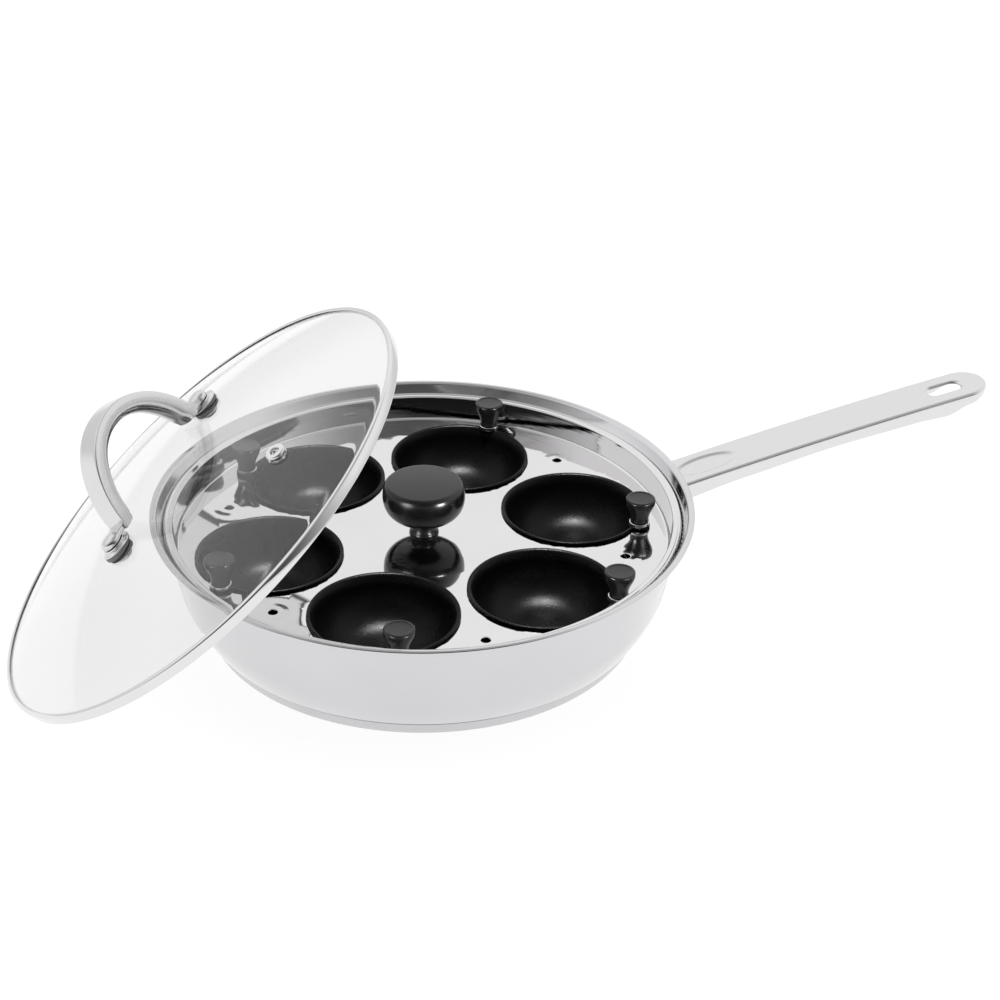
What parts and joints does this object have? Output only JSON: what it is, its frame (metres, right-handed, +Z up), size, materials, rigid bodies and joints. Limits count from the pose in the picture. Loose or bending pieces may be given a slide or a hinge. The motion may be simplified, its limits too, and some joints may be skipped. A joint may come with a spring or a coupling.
{
  "type": "egg pan",
  "caption": "Steel egg-poaching pan with a long handle, a lift-out tray of black cups round a central knob, and a domed glass lid leaning beside it.",
  "frame": {"origin": "pan's axis at the flat underside of the base, on the table", "axes": "+X along the long handle, +Z up, +Y to the left of the handle seen from the pan"},
  "size_m": [0.5414, 0.28, 0.1714],
  "materials": {
    "polished_steel": "polished stainless steel",
    "satin_steel": "satin stainless steel",
    "aluminium": "plain",
    "brass": "turned",
    "non_stick": "black non-stick coating on pressed sheet",
    "black_knob": "glossy black phenolic",
    "silicone": "dark silicone",
    "clear_glass": "clear tempered glass"
  },
  "bodies": {
    "pan": {"pan_body": "polished_steel", "base_core": "aluminium", "base_cap": "satin_steel", "pan_handle": "satin_steel", "handle_bracket": "satin_steel"},
    "tray": {"tray": "polished_steel", "tray_knob": "black_knob", "knob_insert": "brass", "knob_washer": "satin_steel", "knob_screw": "satin_steel"},
    "cup_1": {"cup_bowl_1": "non_stick", "cup_stud_1": "polished_steel", "cup_knob_1": "black_knob"},
    "cup_2": {"cup_bowl_2": "non_stick", "cup_stud_2": "polished_steel", "cup_knob_2": "black_knob"},
    "cup_3": {"cup_bowl_3": "non_stick", "cup_stud_3": "polished_steel", "cup_knob_3": "black_knob"},
    "cup_4": {"cup_bowl_4": "non_stick", "cup_stud_4": "polished_steel", "cup_knob_4": "black_knob"},
    "cup_5": {"cup_bowl_5": "non_stick", "cup_stud_5": "polished_steel", "cup_knob_5": "black_knob"},
    "cup_6": {"cup_bowl_6": "non_stick", "cup_stud_6": "polished_steel", "cup_knob_6": "black_knob"},
    "lid": {"lid_glass": "clear_glass", "lid_band": "polished_steel", "lid_handle": "satin_steel", "lid_eyelet": "polished_steel", "lid_gasket_1": "silicone", "lid_foot_1": "polished_steel", "lid_washer_1": "silicone", "lid_screw_1": "satin_steel", "lid_gasket_2": "silicone", "lid_foot_2": "polished_steel", "lid_washer_2": "silicone", "lid_screw_2": "satin_steel"}
  },
  "joints": [
    {"name": "tray_lift", "type": "slide", "parent": "pan", "child": "tray", "axis": [0.2574, -0.12, 0.9588], "range_m": [0, 0.05]},
    {"name": "cup_1_lift", "type": "slide", "parent": "tray", "child": "cup_1", "axis": [0, 0, 1], "range_m": [0, 0.04]},
    {"name": "cup_2_lift", "type": "slide", "parent": "tray", "child": "cup_2", "axis": [0, 0, 1], "range_m": [0, 0.04]},
    {"name": "cup_3_lift", "type": "slide", "parent": "tray", "child": "cup_3", "axis": [0, 0, 1], "range_m": [0, 0.04]},
    {"name": "cup_4_lift", "type": "slide", "parent": "tray", "child": "cup_4", "axis": [0, 0, 1], "range_m": [0, 0.04]},
    {"name": "cup_5_lift", "type": "slide", "parent": "tray", "child": "cup_5", "axis": [0, 0, 1], "range_m": [0, 0.04]},
    {"name": "cup_6_lift", "type": "slide", "parent": "tray", "child": "cup_6", "axis": [0, 0, 1], "range_m": [0, 0.04]},
    {"name": "lid_lift", "type": "slide", "parent": "pan", "child": "lid", "axis": [-0.6371, 0.1182, 0.7617], "range_m": [0, 0.12]}
  ]
}
